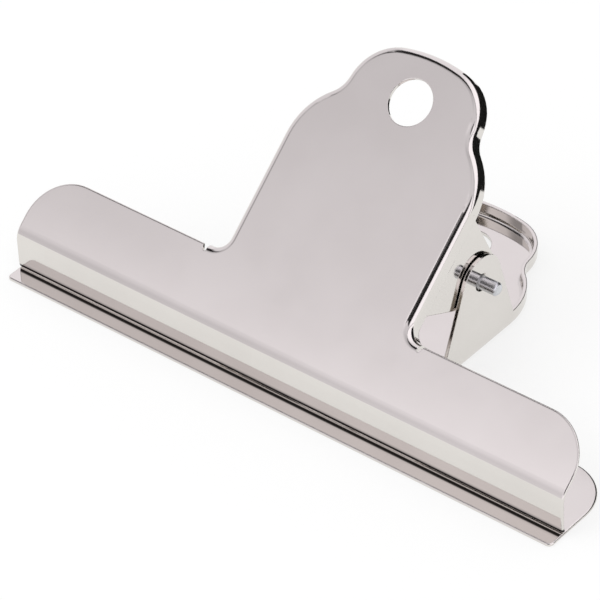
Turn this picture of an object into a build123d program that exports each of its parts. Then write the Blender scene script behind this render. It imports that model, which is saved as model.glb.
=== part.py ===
from build123d import *

import math
import os

# Driving dimensions of the two stamped plates, in millimetres and degrees.
# A run is measured up a plate from the jaw line, and a depth inwards from its outer face.
jaw_width = 145.0
sheet = 0.8
v_angle = 40.3
pivot_run = 37.4
pivot_depth = 18.1
wing_run = 19.1
wing_corner_radius = 11.0
lip_length = 4.0
lip_corner_radius = 1.2
jaw_bend_radius = 4.5
jaw_curl_radius = 3.5
jaw_curl_angle = 26.0
jaw_gap = 0.12
edge_radius = 0.35

# The handle's outline, over the flange.
neck_width = 48.4
neck_foot_run = 19.4
neck_foot_radius = 4.5
shoulder_run = 47.2
shoulder_radius = 16.0
waist_radius = 6.3
lobe_width = 33.2
lobe_radius = 11.2
crown_radius = 38.0
handle_top_run = 74.4
hole_run = 63.4
hole_diameter = 10.3

# The flange round the handle and the relief notches where it ends.
flange_depth = 3.9
flange_bend_radius = 1.7
flange_end_width = 55.8
flange_end_straight = 0.5
relief_width = 1.3
tray_overlap = 2.0

# The pivot ears, bent down from the neck's sides.
ear_tip_radius = 6.2
ear_foot_below = 12.9
ear_foot_above = 10.4
ear_clearance = 0.3
ear_step_angle = 45.0
ear_hole_chamfer = 0.55

# The pin through the ears.
pin_diameter = 3.0
pin_clearance = 0.08
pin_overhang = 4.3
pin_end_chamfer = 0.35

# The torsion spring on the pin.
spring_wire = 2.0
spring_pin_clearance = 0.5
spring_pitch = 3.1
spring_turn_count = 7
spring_leg_length = 22.0
spring_leg_clearance = 0.2
arcs_per_turn = 4
gap_samples_per_turn = 48

# Sizes that follow from those.
half_jaw = jaw_width / 2
half_neck = neck_width / 2
half_flange_end = flange_end_width / 2
foot_radius = min(neck_foot_radius, half_flange_end - half_neck - flange_end_straight)
notch_run = neck_foot_run - flange_bend_radius
ear_set_in = sheet + ear_clearance
pin_hole_diameter = pin_diameter + 2 * pin_clearance
pin_length = neck_width + 2 * pin_overhang
frame_middle_run = (handle_top_run - lip_length) / 2
pivot_y = pivot_run - frame_middle_run
jaw_line_y = -frame_middle_run
v_radians = math.radians(v_angle)
touching = 0.001

# Each plate's plane lies on its outer face, under the pin, with Y up the handle and Z inwards.
pivot = Vector(0, pivot_y, pivot_depth)
front_up = Vector(0, math.cos(v_radians), math.sin(v_radians))
front_inward = Vector(0, math.sin(v_radians), -math.cos(v_radians))
back_plane = Plane(origin=(0, pivot_y, 0), x_dir=(1, 0, 0), z_dir=(0, 0, 1))
front_plane = Plane(origin=pivot - front_inward * pivot_depth, x_dir=(-1, 0, 0), z_dir=front_inward)

# Directions on a sketch.
right = Vector(1, 0)
up = Vector(0, 1)


def from_pivot(run):
    """Height above the pin, along a plate, of a point at a run from the jaw line."""
    return run - pivot_run


def circle_meeting(centre_a, reach_a, centre_b, reach_b):
    """The point at two given distances from two centres, on the right of the way from a to b."""
    gap = (centre_b - centre_a).length
    along = (centre_b - centre_a) / gap
    run = (reach_a ** 2 - reach_b ** 2 + gap ** 2) / (2 * gap)
    rise = math.sqrt(reach_a ** 2 - run ** 2)
    return centre_a + along * run + Vector(along.Y, -along.X) * rise


def tangent_point(outside, centre, radius, side):
    """Where a line from an outside point touches a circle, on one side (1 or -1) of its centre."""
    reach = outside - centre
    swing = math.degrees(math.acos(radius / reach.length))
    return centre + reach.normalized().rotate(Axis.Z, side * swing) * radius


def arc_about(centre, radius, start, end):
    """Draws the shorter arc about a centre, between two directions."""
    first = start.normalized()
    last = end.normalized()
    middle = (first + last).normalized()
    ThreePointArc(centre + first * radius, centre + middle * radius, centre + last * radius)


def handle_face(plane, inset, half_end, floor_run):
    """The handle's outline, moved in by an inset, closed by a straight floor below the neck."""
    crown = Vector(0, from_pivot(handle_top_run) - crown_radius)
    lobe_x = lobe_width / 2 - lobe_radius
    lobe_rise = math.sqrt((crown_radius - lobe_radius) ** 2 - lobe_x ** 2)
    lobe = crown + Vector(lobe_x, lobe_rise)
    shoulder = Vector(half_neck - shoulder_radius, from_pivot(shoulder_run))
    waist = circle_meeting(shoulder, shoulder_radius + waist_radius, lobe, lobe_radius + waist_radius)
    foot = Vector(half_neck, from_pivot(neck_foot_run)) + (right + up) * foot_radius
    side_x = half_neck - inset
    foot_y = from_pivot(neck_foot_run) - inset
    floor_y = from_pivot(floor_run)
    with BuildSketch(plane) as face:
        with BuildLine():
            arc_about(crown, crown_radius - inset, up, lobe - crown)
            arc_about(lobe, lobe_radius - inset, lobe - crown, waist - lobe)
            arc_about(waist, waist_radius + inset, lobe - waist, shoulder - waist)
            arc_about(shoulder, shoulder_radius - inset, waist - shoulder, right)
            Line((side_x, shoulder.Y), (side_x, foot.Y))
            arc_about(foot, foot_radius + inset, right * -1, up * -1)
            Polyline((foot.X, foot_y), (half_end, foot_y), (half_end, floor_y), (0, floor_y))
            mirror(about=Plane.YZ)
        make_face()
    return face.sketch


def wing_face(plane, bottom_run, bottom_radius):
    """The flat wings, from a bottom edge to the wing's top edge, with the relief notches in that."""
    notch_y = from_pivot(notch_run)
    notch_x = half_flange_end + relief_width / 2
    top_y = from_pivot(wing_run)
    top_x = half_flange_end + relief_width
    bottom_y = from_pivot(bottom_run)
    corner = Vector(half_jaw, top_y) - (right + up) * wing_corner_radius
    bottom_corner = Vector(half_jaw - bottom_radius, bottom_y + bottom_radius)
    with BuildSketch(plane) as face:
        with BuildLine():
            Polyline((0, notch_y), (notch_x, notch_y), (top_x, top_y), (corner.X, top_y))
            arc_about(corner, wing_corner_radius, up, right)
            Line((half_jaw, corner.Y), (half_jaw, bottom_corner.Y))
            if bottom_radius > 0:
                arc_about(bottom_corner, bottom_radius, right, up * -1)
            Line((bottom_corner.X, bottom_y), (0, bottom_y))
            mirror(about=Plane.YZ)
        make_face()
    return face.sketch


def hole_face(plane):
    """The hanging hole near the handle's top."""
    with BuildSketch(plane) as face:
        with Locations((0, from_pivot(hole_run))):
            Circle(hole_diameter / 2)
    return face.sketch


def ear_face(plane, across):
    """An ear's outline at a place across the plate: out of the flange to a round tip about the pin."""
    centre = Vector(0, pivot_depth)
    root = flange_depth - flange_bend_radius
    below = Vector(-ear_foot_below, flange_depth)
    above = Vector(ear_foot_above, flange_depth)
    below_touch = tangent_point(below, centre, ear_tip_radius, -1)
    above_touch = tangent_point(above, centre, ear_tip_radius, 1)
    side_plane = Plane(origin=plane.origin, x_dir=plane.y_dir, z_dir=plane.x_dir)
    with BuildSketch(side_plane.offset(across)) as face:
        with BuildLine():
            Polyline(below_touch, below, (below.X, root), (above.X, root), above, above_touch)
            ThreePointArc(above_touch, centre + up * ear_tip_radius, below_touch)
        make_face()
        with Locations(centre):
            Circle(pin_hole_diameter / 2, mode=Mode.SUBTRACT)
    return face.sketch


def set_in_section(plane):
    """Both ears' section across the plate, set in past the other plate's ears by a slanted step."""
    slant = math.radians(ear_step_angle)
    step_end = flange_depth + ear_set_in / math.tan(slant)
    tip = pivot_depth + ear_tip_radius
    root = flange_depth - flange_bend_radius
    lag = sheet * math.tan(slant / 2)
    outer = half_neck
    inner = half_neck - sheet
    section_plane = Plane(origin=plane.origin, x_dir=plane.x_dir, z_dir=plane.y_dir * -1)
    with BuildSketch(section_plane) as face:
        with BuildLine():
            Polyline(
                (outer, root),
                (outer, flange_depth),
                (outer - ear_set_in, step_end),
                (outer - ear_set_in, tip),
                (inner - ear_set_in, tip),
                (inner - ear_set_in, step_end - lag),
                (inner, flange_depth - lag),
                (inner, root),
                close=True,
            )
        make_face()
        mirror(about=Plane.YZ)
    return face.sketch


def flat_edges(part, plane, depth, lowest_run):
    """The edges that lie at one depth below a plate's outer face, down to a run."""
    picked = ShapeList()
    for edge in part.edges():
        spots = [plane.to_local_coords(edge @ share) for share in (0, 0.5, 1)]
        level = all(abs(spot.Z - depth) < touching for spot in spots)
        if level and spots[1].Y > from_pivot(lowest_run) - touching:
            picked.append(edge)
    return picked


def wing_rims(part):
    """The long rims of a pair of wings, on both faces, without the notches where the handle joins."""
    clear_of_notch = half_flange_end + relief_width
    rims = part.edges().filter_by(lambda edge: edge.length > sheet + touching)
    return rims.filter_by(lambda edge: abs(edge.center().X) > clear_of_notch)


def outer_hole_rims(part):
    """The rims of the ears' pin holes on the neck's outer sides."""
    rims = part.edges().filter_by(GeomType.CIRCLE)
    return rims.filter_by(lambda rim: abs(abs(rim.arc_center.X) - half_neck) < touching and rim.is_closed)


def jaw_bend_start():
    """Where the front plate's outer face ends and the bend into its jaw strip begins."""
    corner_rise = (jaw_line_y - front_plane.origin.Y) / front_up.Y
    tangent_length = jaw_bend_radius * math.tan((math.pi / 2 - v_radians) / 2)
    return front_plane.origin + front_up * (corner_rise + tangent_length)


def jaw_face():
    """The front jaw's section: the bend out of the face, the strip, and the curl that it stands on."""
    left = right * -1
    bend_centre = jaw_bend_start() + front_inward * jaw_bend_radius
    bend = Vector(bend_centre.Y, bend_centre.Z)
    bend_inner_radius = jaw_bend_radius - sheet
    outward = Vector(-front_inward.Y, -front_inward.Z)
    curl_way = left.rotate(Axis.Z, jaw_curl_angle)
    foot_z = sheet + jaw_gap
    curl = Vector(jaw_line_y + jaw_curl_radius, foot_z - curl_way.Y * jaw_curl_radius)
    curl_inner_radius = jaw_curl_radius - sheet
    with BuildSketch(Plane.YZ) as face:
        with BuildLine():
            arc_about(bend, jaw_bend_radius, outward, left)
            Line((jaw_line_y, bend.Y), (jaw_line_y, curl.Y))
            arc_about(curl, jaw_curl_radius, left, curl_way)
            Line(curl + curl_way * jaw_curl_radius, curl + curl_way * curl_inner_radius)
            arc_about(curl, curl_inner_radius, curl_way, left)
            Line((jaw_line_y + sheet, curl.Y), (jaw_line_y + sheet, bend.Y))
            arc_about(bend, bend_inner_radius, left, outward)
            Line(bend + outward * bend_inner_radius, bend + outward * jaw_bend_radius)
        make_face()
    return face.sketch


def press_tray(plate, plane):
    """Forms a handle in a plate's builder: the flat face, and the flange bent from it all round."""
    floor_run = notch_run - tray_overlap
    extrude(handle_face(plane, 0, half_flange_end, floor_run), amount=flange_depth)
    fillet(flat_edges(plate.part, plane, 0, neck_foot_run), flange_bend_radius)
    pocket = handle_face(plane.offset(sheet), sheet, half_flange_end + sheet, floor_run - sheet)
    extrude(pocket, amount=flange_depth, mode=Mode.SUBTRACT)
    fillet(flat_edges(plate.part, plane, sheet, neck_foot_run - sheet), flange_bend_radius - sheet)
    extrude(hole_face(plane), amount=sheet, mode=Mode.SUBTRACT)


def biarc(start, start_way, end, end_way):
    """Draws two arcs that leave one point and reach another along given unit directions."""
    span = end - start
    ways = start_way + end_way
    spread = 2 * (1 - start_way.dot(end_way))
    lean = span.dot(ways)
    reach = (math.sqrt(lean ** 2 + spread * span.dot(span)) - lean) / spread
    before = start + start_way * reach
    after = end - end_way * reach
    middle = (before + after) / 2
    TangentArc(start, middle, tangent=start_way)
    TangentArc(middle, end, tangent=after - before)


# The back plate's wings and lip, with their cut edges rounded.
with BuildPart() as back_wings:
    extrude(wing_face(back_plane, -lip_length, lip_corner_radius), amount=sheet)
    lip_rims = back_wings.edges().group_by(Axis.Y)[0]
    fillet(wing_rims(back_wings.part) + lip_rims, edge_radius)

# The back plate lies on its outer face, with its lip running past the jaw line.
with BuildPart() as back_plate:
    press_tray(back_plate, back_plane)
    add(back_wings.part)
    for side in (1, -1):
        extrude(ear_face(back_plane, side * half_neck), amount=-side * sheet)
    chamfer(outer_hole_rims(back_plate.part), ear_hole_chamfer)

# The front plate's two ears, inside the back plate's.
with BuildPart() as set_in_ears:
    extrude(ear_face(front_plane, 0), amount=half_neck, both=True)
    ear_reach = max(ear_foot_below, ear_foot_above)
    extrude(set_in_section(front_plane), amount=ear_reach, both=True, mode=Mode.INTERSECT)

# The front plate's wings and jaw, bent from one sheet, with their cut edges rounded.
with BuildPart() as front_wings:
    bend_run = pivot_run + front_plane.to_local_coords(jaw_bend_start()).Y
    extrude(wing_face(front_plane, bend_run, 0), amount=sheet)
    extrude(jaw_face(), amount=half_jaw, both=True)
    fillet(wing_rims(front_wings.part), edge_radius)

# The front plate leans over the back plate, and the curl of its jaw stands on it.
with BuildPart() as front_plate:
    press_tray(front_plate, front_plane)
    add(front_wings.part)
    add(set_in_ears.part)

# The pin runs through all four ears.
with BuildPart() as pivot_pin:
    with BuildSketch(Plane.YZ.offset(-pin_length / 2)):
        with Locations((pivot_y, pivot_depth)):
            Circle(pin_diameter / 2)
    extrude(amount=pin_length)
    chamfer(pivot_pin.edges().filter_by(GeomType.CIRCLE), pin_end_chamfer)

# The spring's coil turns about the pin, and each leg runs out to the inside of a handle.
coil_radius = pin_diameter / 2 + spring_pin_clearance + spring_wire / 2
leg_room = pivot_depth - sheet - spring_leg_clearance
leg_side = coil_radius + spring_wire / 2
leg_swing = math.degrees(
    math.asin(leg_room / math.hypot(spring_leg_length, leg_side)) - math.atan2(leg_side, spring_leg_length)
)
coil_sweep = 360 * spring_turn_count - 180 - v_angle - 2 * leg_swing
arc_count = round(coil_sweep / 360 * arcs_per_turn)
arc_sweep = coil_sweep / arc_count
arc_advance = spring_pitch * arc_sweep / 360
coil_length = arc_advance * (arc_count - 1)
first_angle = v_angle + leg_swing + 90


def coil_point(index):
    """The wire's centre after a number of arcs, its first and last arc easing in and out of the pitch."""
    angle = math.radians(first_angle + arc_sweep * index)
    eased = min(max(index - 0.5, 0), arc_count - 1)
    x = coil_length / 2 - arc_advance * eased
    return Vector(x, pivot_y + coil_radius * math.cos(angle), pivot_depth + coil_radius * math.sin(angle))


def coil_way(index):
    """The wire's direction there."""
    angle = math.radians(first_angle + arc_sweep * index)
    inside = 0 < index < arc_count
    advance = arc_advance / math.radians(arc_sweep) if inside else 0
    return Vector(-advance, -coil_radius * math.sin(angle), coil_radius * math.cos(angle)).normalized()


with BuildPart() as torsion_spring:
    with BuildLine() as wire_line:
        Line(coil_point(0) - coil_way(0) * spring_leg_length, coil_point(0))
        for index in range(arc_count):
            biarc(coil_point(index), coil_way(index), coil_point(index + 1), coil_way(index + 1))
        Line(coil_point(arc_count), coil_point(arc_count) + coil_way(arc_count) * spring_leg_length)
    with BuildSketch(Plane(origin=wire_line.line @ 0, z_dir=wire_line.line % 0)):
        Circle(spring_wire / 2)
    sweep()


def least_spring_gap():
    """The least clear space between the spring's own turns, measured on points along the wire."""
    wire = wire_line.wire()
    count = int(spring_turn_count * gap_samples_per_turn)
    points = [wire.position_at(index / count) for index in range(count + 1)]
    step = wire.length / count
    apart = int(math.pi * coil_radius / step)
    gaps = []
    for first in range(count + 1):
        for second in range(first + apart, count + 1):
            gaps.append((points[second] - points[first]).length)
    return min(gaps) - spring_wire


print(f"least gap between the spring's turns: {least_spring_gap():.2f} mm")

os.makedirs("parts", exist_ok=True)
back_plate.part.label = "back_plate"
front_plate.part.label = "front_plate"
pivot_pin.part.label = "pivot_pin"
torsion_spring.part.label = "torsion_spring"
for piece in (back_plate, front_plate, pivot_pin, torsion_spring):
    export_step(piece.part, f"parts/{piece.part.label}.step")
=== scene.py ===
import math
import bpy
from mathutils import Euler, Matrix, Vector


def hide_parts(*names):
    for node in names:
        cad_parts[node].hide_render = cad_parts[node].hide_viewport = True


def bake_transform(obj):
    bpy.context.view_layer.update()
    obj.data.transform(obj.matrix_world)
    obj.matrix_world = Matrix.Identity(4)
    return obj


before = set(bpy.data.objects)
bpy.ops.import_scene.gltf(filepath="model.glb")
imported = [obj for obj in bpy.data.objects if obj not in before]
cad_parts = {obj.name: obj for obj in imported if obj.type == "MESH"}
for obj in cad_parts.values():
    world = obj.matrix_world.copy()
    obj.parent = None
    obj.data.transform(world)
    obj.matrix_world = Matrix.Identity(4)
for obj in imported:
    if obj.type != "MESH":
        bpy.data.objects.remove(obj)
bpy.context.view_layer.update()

# The camera stands where the photograph was taken from, with a long lens.
camera_place = (0.47386, -0.57001, 0.59253)
camera_turn_degrees = (51.536, 2.3225, 39.2813)
camera_lens_mm = 270.0
camera_sensor_mm = 36.0

# The studio that the metal mirrors, by the parts of the direction it is seen in: x right, y back, z up.
# Where one brightness turns into another, a pair of numbers says where the change starts and ends.
# A soft box hangs over the front. It brightens downwards to a bright low band, and to the right.
# Each band is a steepness, from 0 level with the floor to 1 straight up, and a share of the most.
box_most = 1.11
box_bands = (
    (0.0, 0.74),
    (0.19, 0.74),
    (0.243, 0.71),
    (0.345, 0.76),
    (0.437, 0.84),
    (0.5245, 0.91),
    (0.55, 0.97),
    (0.5625, 1.0),
    (0.5665, 0.8),
    (0.575, 0.81),
    (0.604, 0.685),
    (0.62, 0.65),
)
box_left_share = 0.9
box_right_share = 1.09
box_change_x = (-0.6, -0.4)
# The box is brighter beside the camera.
beside_camera_level = 0.32
beside_camera_x = (-0.46, -0.2)
beside_camera_y = (-0.45, -0.58)
# High up on the left, the box fades towards the gap behind it. Across is counted from the gap's middle.
fade_least = 0.65
fade_across = (-0.44, -0.22)
fade_x = (0.1, -0.4)
fade_z = (0.72, 0.78)
# A dark round patch stands for the camera and its stand, cut off at the top.
camera_way = (0.2756, -0.622, 0.733)
camera_inner_degrees = 27.5
camera_outer_degrees = 30.5
camera_top_z = (0.84, 0.8)
dark_level = 0.02
# A dark gap runs between the box and the screens behind, and narrows to the right. Along its normal it has
# a middle, a half width at x = 0, that width's change along x and its least, and soft edges.
gap_normal = (0.0, 0.9866, 0.1632)
gap_middle = 0.1
gap_half_width = 0.0125
gap_narrowing = -0.45
gap_least = 0.025
gap_softness = 0.03
# Screens stand behind and on both sides.
back_left_level = 1.02
back_right_level = 1.32
back_change_x = (-0.4, 0.2)
right_level = 1.32
right_top_level = 0.95
right_top_z = (0.63, 0.7)
right_edge_x = (0.5, 0.64)
left_level = 0.9
left_edge_x = (-0.62, -0.76)
studio_tint = (0.99, 0.95, 1.008)
# A grey thing stands on the left, between the box and the screen.
grey_way = (-0.707, -0.457, 0.539)
grey_inner_degrees = 4.0
grey_outer_degrees = 11.0
grey_level = 0.42

# A black card stands behind the clip, for the metal to mirror.
card_left = -0.02
card_right = 0.26
card_back = 0.088
card_foot = 0.001
card_top = 0.11
card_colour = (0.01, 0.01, 0.01)

# Plain light on the floor, which glows by itself and fades into white between two distances.
diffuse_level = 1.03
floor_half_size = 4.0
floor_colour = (0.93, 0.93, 0.93)
floor_near = 0.25
floor_far = 0.9
floor_glow = 0.7
key_lamp_place = (-0.55, -0.75, 1.1)
key_lamp_size = 0.9
key_lamp_watts = 2.5

# Each finish varies between two colours and two roughnesses, in patches, fine lines and slow waves.
# Those are counts per metre along x, y and z, and the depths are in metres.
nickel = {
    "colours": ((0.712, 0.684, 0.650), (0.740, 0.713, 0.678)),
    "roughness": (0.065, 0.085),
    "patches": (60, 60, 60),
    "lines": (300, 2500, 2500),
    "line_depth": 2e-7,
    "waves": (40, 40, 40),
    "wave_depth": 8e-7,
}
zinc = {
    "colours": ((0.57, 0.58, 0.6), (0.68, 0.69, 0.71)),
    "roughness": (0.24, 0.38),
    "patches": (250, 500, 500),
    "lines": (60, 3500, 3500),
    "line_depth": 4e-6,
    "waves": (120, 120, 120),
    "wave_depth": 4e-6,
}
drawn_wire = {
    "colours": ((0.44, 0.44, 0.46), (0.55, 0.55, 0.57)),
    "roughness": (0.2, 0.34),
    "patches": (400, 200, 200),
    "lines": (4500, 90, 90),
    "line_depth": 4e-6,
    "waves": (150, 150, 150),
    "wave_depth": 4e-6,
}
patch_detail = 4.0
patch_range = (0.3, 0.7)
line_detail = 2.0
wave_detail = 1.0
gloss_line_share = 0.5
gloss_range = (0.2, 0.8)
rim_radius = 0.0003
rim_samples = 6
# A painted shade line runs along the front plate's jaw, standing in for the dark shade where the jaws
# meet. It starts, is full, thins out and ends at these heights.
painted_shade_line_heights = (0.0011, 0.0012, 0.0017, 0.0021)
painted_shade_colour = (0.02, 0.018, 0.016)


def wire(tree, socket, value):
    """Links a socket to another, or sets its value."""
    if isinstance(value, bpy.types.NodeSocket):
        tree.links.new(value, socket)
    else:
        socket.default_value = value


def arithmetic(tree, operation, *values):
    """The result of a sum on numbers or sockets."""
    node = tree.nodes.new("ShaderNodeMath")
    node.operation = operation
    for socket, value in zip(node.inputs, values):
        wire(tree, socket, value)
    return node.outputs[0]


def blend(tree, first, second, share):
    """A number on the way from the first to the second."""
    way = arithmetic(tree, "SUBTRACT", second, first)
    return arithmetic(tree, "MULTIPLY_ADD", way, share, first)


def dot_product(tree, vector, direction):
    """How far a vector socket points along a direction."""
    node = tree.nodes.new("ShaderNodeVectorMath")
    node.operation = "DOT_PRODUCT"
    wire(tree, node.inputs[0], vector)
    wire(tree, node.inputs[1], Vector(direction).normalized())
    return node.outputs["Value"]


def smooth_step(tree, value, start, end, low=0.0, high=1.0):
    """A number that eases from low to high as a value goes from start to end."""
    node = tree.nodes.new("ShaderNodeMapRange")
    node.interpolation_type = "SMOOTHSTEP"
    settings = {"Value": value, "From Min": start, "From Max": end, "To Min": low, "To Max": high}
    for name, setting in settings.items():
        wire(tree, node.inputs[name], setting)
    return node.outputs["Result"]


def ramp(tree, value, stops):
    """A number read off a line through the stops, each a place from 0 to 1 and a level."""
    node = tree.nodes.new("ShaderNodeValToRGB")
    elements = node.color_ramp.elements
    while len(elements) < len(stops):
        elements.new(0.5)
    for element, (place, level) in zip(elements, stops):
        element.position = place
        element.color = (level, level, level, 1)
    wire(tree, node.inputs["Fac"], value)
    return node.outputs["Color"]


def cone(tree, way, direction, inner, outer):
    """A share that is 1 near a direction and falls to 0 between two half angles in degrees."""
    near = dot_product(tree, way, direction)
    return smooth_step(tree, near, math.cos(math.radians(outer)), math.cos(math.radians(inner)))


def mix_shaders(tree, share, first, second):
    """Two shaders mixed by a share of the second."""
    node = tree.nodes.new("ShaderNodeMixShader")
    wire(tree, node.inputs[0], share)
    wire(tree, node.inputs[1], first)
    wire(tree, node.inputs[2], second)
    return node.outputs[0]


def mix_colours(tree, share, first, second):
    """Two colours mixed by a share of the second."""
    node = tree.nodes.new("ShaderNodeMix")
    node.data_type = "RGBA"
    # The node keeps sockets of the same names for each kind of data, so the colour ones go by number.
    wire(tree, node.inputs[0], share)
    wire(tree, node.inputs[6], first)
    wire(tree, node.inputs[7], second)
    return node.outputs[2]


def background(tree, strength, tint=(1, 1, 1)):
    """A background of a strength, white unless it has a tint."""
    node = tree.nodes.new("ShaderNodeBackground")
    node.inputs["Color"].default_value = (*tint, 1)
    wire(tree, node.inputs["Strength"], strength)
    return node.outputs[0]


def box_level(tree, x, y, z, across):
    """The brightness of the soft box over the front."""
    steepness = arithmetic(tree, "DIVIDE", z, arithmetic(tree, "SUBTRACT", z, y))
    level = arithmetic(tree, "MULTIPLY", ramp(tree, steepness, box_bands), box_most)
    side = smooth_step(tree, x, *box_change_x, box_left_share, box_right_share)
    level = arithmetic(tree, "MULTIPLY", level, side)
    beside = smooth_step(tree, x, *beside_camera_x)
    beside = arithmetic(tree, "MULTIPLY", beside, smooth_step(tree, y, *beside_camera_y))
    level = arithmetic(tree, "MULTIPLY_ADD", beside, beside_camera_level, level)
    faded = smooth_step(tree, across, *fade_across)
    faded = arithmetic(tree, "MULTIPLY", faded, smooth_step(tree, x, *fade_x))
    faded = arithmetic(tree, "MULTIPLY", faded, smooth_step(tree, z, *fade_z))
    return arithmetic(tree, "MULTIPLY", level, blend(tree, 1.0, fade_least, faded))


def studio_level(tree):
    """The studio's brightness in each direction, as metal mirrors it."""
    way = tree.nodes.new("ShaderNodeTexCoord").outputs["Generated"]
    split = tree.nodes.new("ShaderNodeSeparateXYZ")
    wire(tree, split.inputs[0], way)
    x, y, z = split.outputs
    across = arithmetic(tree, "SUBTRACT", dot_product(tree, way, gap_normal), gap_middle)
    level = box_level(tree, x, y, z, across)
    right = smooth_step(tree, z, *right_top_z, right_level, right_top_level)
    level = blend(tree, level, right, smooth_step(tree, x, *right_edge_x))
    camera = cone(tree, way, camera_way, camera_inner_degrees, camera_outer_degrees)
    camera = arithmetic(tree, "MULTIPLY", camera, smooth_step(tree, z, *camera_top_z))
    level = blend(tree, level, dark_level, camera)
    back = smooth_step(tree, x, *back_change_x, back_left_level, back_right_level)
    level = blend(tree, level, back, smooth_step(tree, across, -gap_softness, gap_softness))
    half = arithmetic(tree, "MULTIPLY_ADD", x, gap_narrowing, gap_half_width)
    half = arithmetic(tree, "MAXIMUM", half, gap_least)
    beyond = arithmetic(tree, "SUBTRACT", arithmetic(tree, "ABSOLUTE", across), half)
    level = blend(tree, dark_level, level, smooth_step(tree, beyond, -gap_softness, gap_softness))
    level = blend(tree, level, left_level, smooth_step(tree, x, *left_edge_x))
    grey = cone(tree, way, grey_way, grey_inner_degrees, grey_outer_degrees)
    return blend(tree, level, grey_level, grey)


def make_world():
    """White to the camera, the studio in the metal, and plain even light on the rest."""
    world = bpy.data.worlds.new("studio")
    bpy.context.scene.world = world
    world.use_nodes = True
    tree = world.node_tree
    tree.nodes.clear()
    path = tree.nodes.new("ShaderNodeLightPath").outputs
    plain = background(tree, diffuse_level)
    studio = background(tree, studio_level(tree), studio_tint)
    lit = mix_shaders(tree, path["Is Glossy Ray"], plain, studio)
    clear = arithmetic(tree, "MAXIMUM", path["Is Camera Ray"], path["Is Transmission Ray"])
    seen = mix_shaders(tree, clear, lit, background(tree, 1.0))
    output = tree.nodes.new("ShaderNodeOutputWorld")
    wire(tree, output.inputs["Surface"], seen)


def make_sheet(name, corners):
    """A flat four-cornered stage piece with an empty material, and that material's nodes."""
    mesh = bpy.data.meshes.new(name)
    mesh.from_pydata(corners, [], [(0, 1, 2, 3)])
    sheet = bpy.data.objects.new(name, mesh)
    bpy.context.scene.collection.objects.link(sheet)
    material = bpy.data.materials.new(name)
    material.use_nodes = True
    material.node_tree.nodes.clear()
    mesh.materials.append(material)
    return sheet, material.node_tree


def make_floor():
    """A pale floor that takes the shadow, and fades into the white behind it."""
    size = floor_half_size
    corners = [(-size, -size, 0), (size, -size, 0), (size, size, 0), (-size, size, 0)]
    tree = make_sheet("floor", corners)[1]
    reach = tree.nodes.new("ShaderNodeVectorMath")
    reach.operation = "LENGTH"
    wire(tree, reach.inputs[0], tree.nodes.new("ShaderNodeTexCoord").outputs["Object"])
    far = smooth_step(tree, reach.outputs["Value"], floor_near, floor_far, floor_glow)
    paint = tree.nodes.new("ShaderNodeBsdfDiffuse")
    paint.inputs["Color"].default_value = (*floor_colour, 1)
    white = tree.nodes.new("ShaderNodeEmission")
    output = tree.nodes.new("ShaderNodeOutputMaterial")
    wire(tree, output.inputs["Surface"], mix_shaders(tree, far, paint.outputs[0], white.outputs[0]))


def make_card():
    """A black card behind the clip, that only the metal's mirror shows."""
    low = [(card_left, card_back, card_foot), (card_right, card_back, card_foot)]
    high = [(card_right, card_back, card_top), (card_left, card_back, card_top)]
    card, tree = make_sheet("card", low + high)
    black = tree.nodes.new("ShaderNodeBsdfDiffuse")
    black.inputs["Color"].default_value = (*card_colour, 1)
    output = tree.nodes.new("ShaderNodeOutputMaterial")
    wire(tree, output.inputs["Surface"], black.outputs[0])
    card.visible_camera = False
    card.visible_diffuse = False
    card.visible_shadow = False


def make_lamp():
    """One large soft lamp above the front left."""
    data = bpy.data.lights.new("key_lamp", "AREA")
    data.shape = "DISK"
    data.size = key_lamp_size
    data.energy = key_lamp_watts
    lamp = bpy.data.objects.new("key_lamp", data)
    lamp.location = key_lamp_place
    lamp.rotation_euler = (-Vector(key_lamp_place)).to_track_quat("-Z", "Y").to_euler()
    lamp.visible_glossy = False
    bpy.context.scene.collection.objects.link(lamp)


def make_camera():
    """The photograph's camera."""
    data = bpy.data.cameras.new("camera")
    data.lens = camera_lens_mm
    data.sensor_width = camera_sensor_mm
    camera = bpy.data.objects.new("camera", data)
    camera.location = camera_place
    camera.rotation_euler = Euler([math.radians(turn) for turn in camera_turn_degrees])
    bpy.context.scene.collection.objects.link(camera)
    bpy.context.scene.camera = camera


def grain(tree, counts, detail):
    """Smooth noise from 0 to 1 on the piece's own coordinates, with counts per metre along each axis."""
    spread = tree.nodes.new("ShaderNodeMapping")
    wire(tree, spread.inputs["Vector"], tree.nodes.new("ShaderNodeTexCoord").outputs["Object"])
    spread.inputs["Scale"].default_value = counts
    noise = tree.nodes.new("ShaderNodeTexNoise")
    wire(tree, noise.inputs["Vector"], spread.outputs[0])
    noise.inputs["Scale"].default_value = 1.0
    noise.inputs["Detail"].default_value = detail
    return noise.outputs["Fac"]


def bump(tree, height, depth, under):
    """A normal tilted by a height pattern of a depth in metres, over another normal."""
    node = tree.nodes.new("ShaderNodeBump")
    node.inputs["Strength"].default_value = 1.0
    node.inputs["Distance"].default_value = depth
    wire(tree, node.inputs["Height"], height)
    wire(tree, node.inputs["Normal"], under)
    return node.outputs["Normal"]


def soft_rims(tree):
    """A normal that rounds the piece's sharp rims."""
    node = tree.nodes.new("ShaderNodeBevel")
    node.samples = rim_samples
    node.inputs["Radius"].default_value = rim_radius
    return node.outputs["Normal"]


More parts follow.
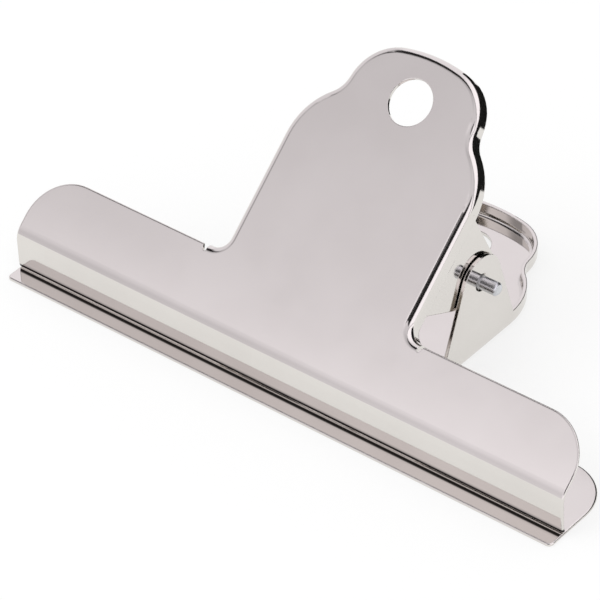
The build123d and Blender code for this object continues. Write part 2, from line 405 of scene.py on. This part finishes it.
def paint_jaw_shade_line(tree, colour):
    """A colour with a painted shade line along the jaw, a little above its foot, where the jaws' contact
    shade falls.
    """
    split = tree.nodes.new("ShaderNodeSeparateXYZ")
    wire(tree, split.inputs[0], tree.nodes.new("ShaderNodeTexCoord").outputs["Object"])
    low, dark_low, dark_high, high = painted_shade_line_heights
    under = smooth_step(tree, split.outputs["Z"], dark_low, low)
    over = smooth_step(tree, split.outputs["Z"], dark_high, high)
    share = arithmetic(tree, "MAXIMUM", under, over)
    return mix_colours(tree, share, (*painted_shade_colour, 1), colour)


def metal(name, colours, roughness, patches, lines, line_depth, waves, wave_depth, painted_jaw_shade=False):
    """A metal finish: its colour and gloss vary in patches, and fine lines and slow waves run over it."""
    material = bpy.data.materials.new(name)
    material.use_nodes = True
    tree = material.node_tree
    shader = tree.nodes["Principled BSDF"]
    shader.inputs["Metallic"].default_value = 1.0
    patch = smooth_step(tree, grain(tree, patches, patch_detail), *patch_range)
    line = grain(tree, lines, line_detail)
    colour = mix_colours(tree, patch, (*colours[0], 1), (*colours[1], 1))
    # On request the colour gets a painted shade line along the jaw.
    if painted_jaw_shade:
        colour = paint_jaw_shade_line(tree, colour)
    wire(tree, shader.inputs["Base Color"], colour)
    mixed = blend(tree, patch, line, gloss_line_share)
    wire(tree, shader.inputs["Roughness"], smooth_step(tree, mixed, *gloss_range, *roughness))
    waved = bump(tree, grain(tree, waves, wave_detail), wave_depth, soft_rims(tree))
    wire(tree, shader.inputs["Normal"], bump(tree, line, line_depth, waved))
    return material


def dress(piece, material):
    """Gives a piece its finish."""
    piece.data.materials.clear()
    piece.data.materials.append(material)


def make_spring(material):
    """The CAD spring again, with a leg on each plate and its coil between them."""
    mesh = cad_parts["torsion_spring"].data.copy()
    spring = bpy.data.objects.new("wound_spring", mesh)
    bpy.context.scene.collection.objects.link(spring)
    dress(spring, material)
    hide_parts("torsion_spring")
    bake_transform(spring)


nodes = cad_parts
dress(nodes["back_plate"], metal("nickel_back", **nickel))
# The front plate's nickel carries a painted shade line along its jaw.
dress(nodes["front_plate"], metal("nickel_front", **nickel, painted_jaw_shade=True))
dress(nodes["pivot_pin"], metal("zinc", **zinc))
make_spring(metal("spring_steel", **drawn_wire))
make_world()
make_floor()
make_card()
make_lamp()
make_camera()
bpy.context.scene.view_settings.view_transform = "Standard"
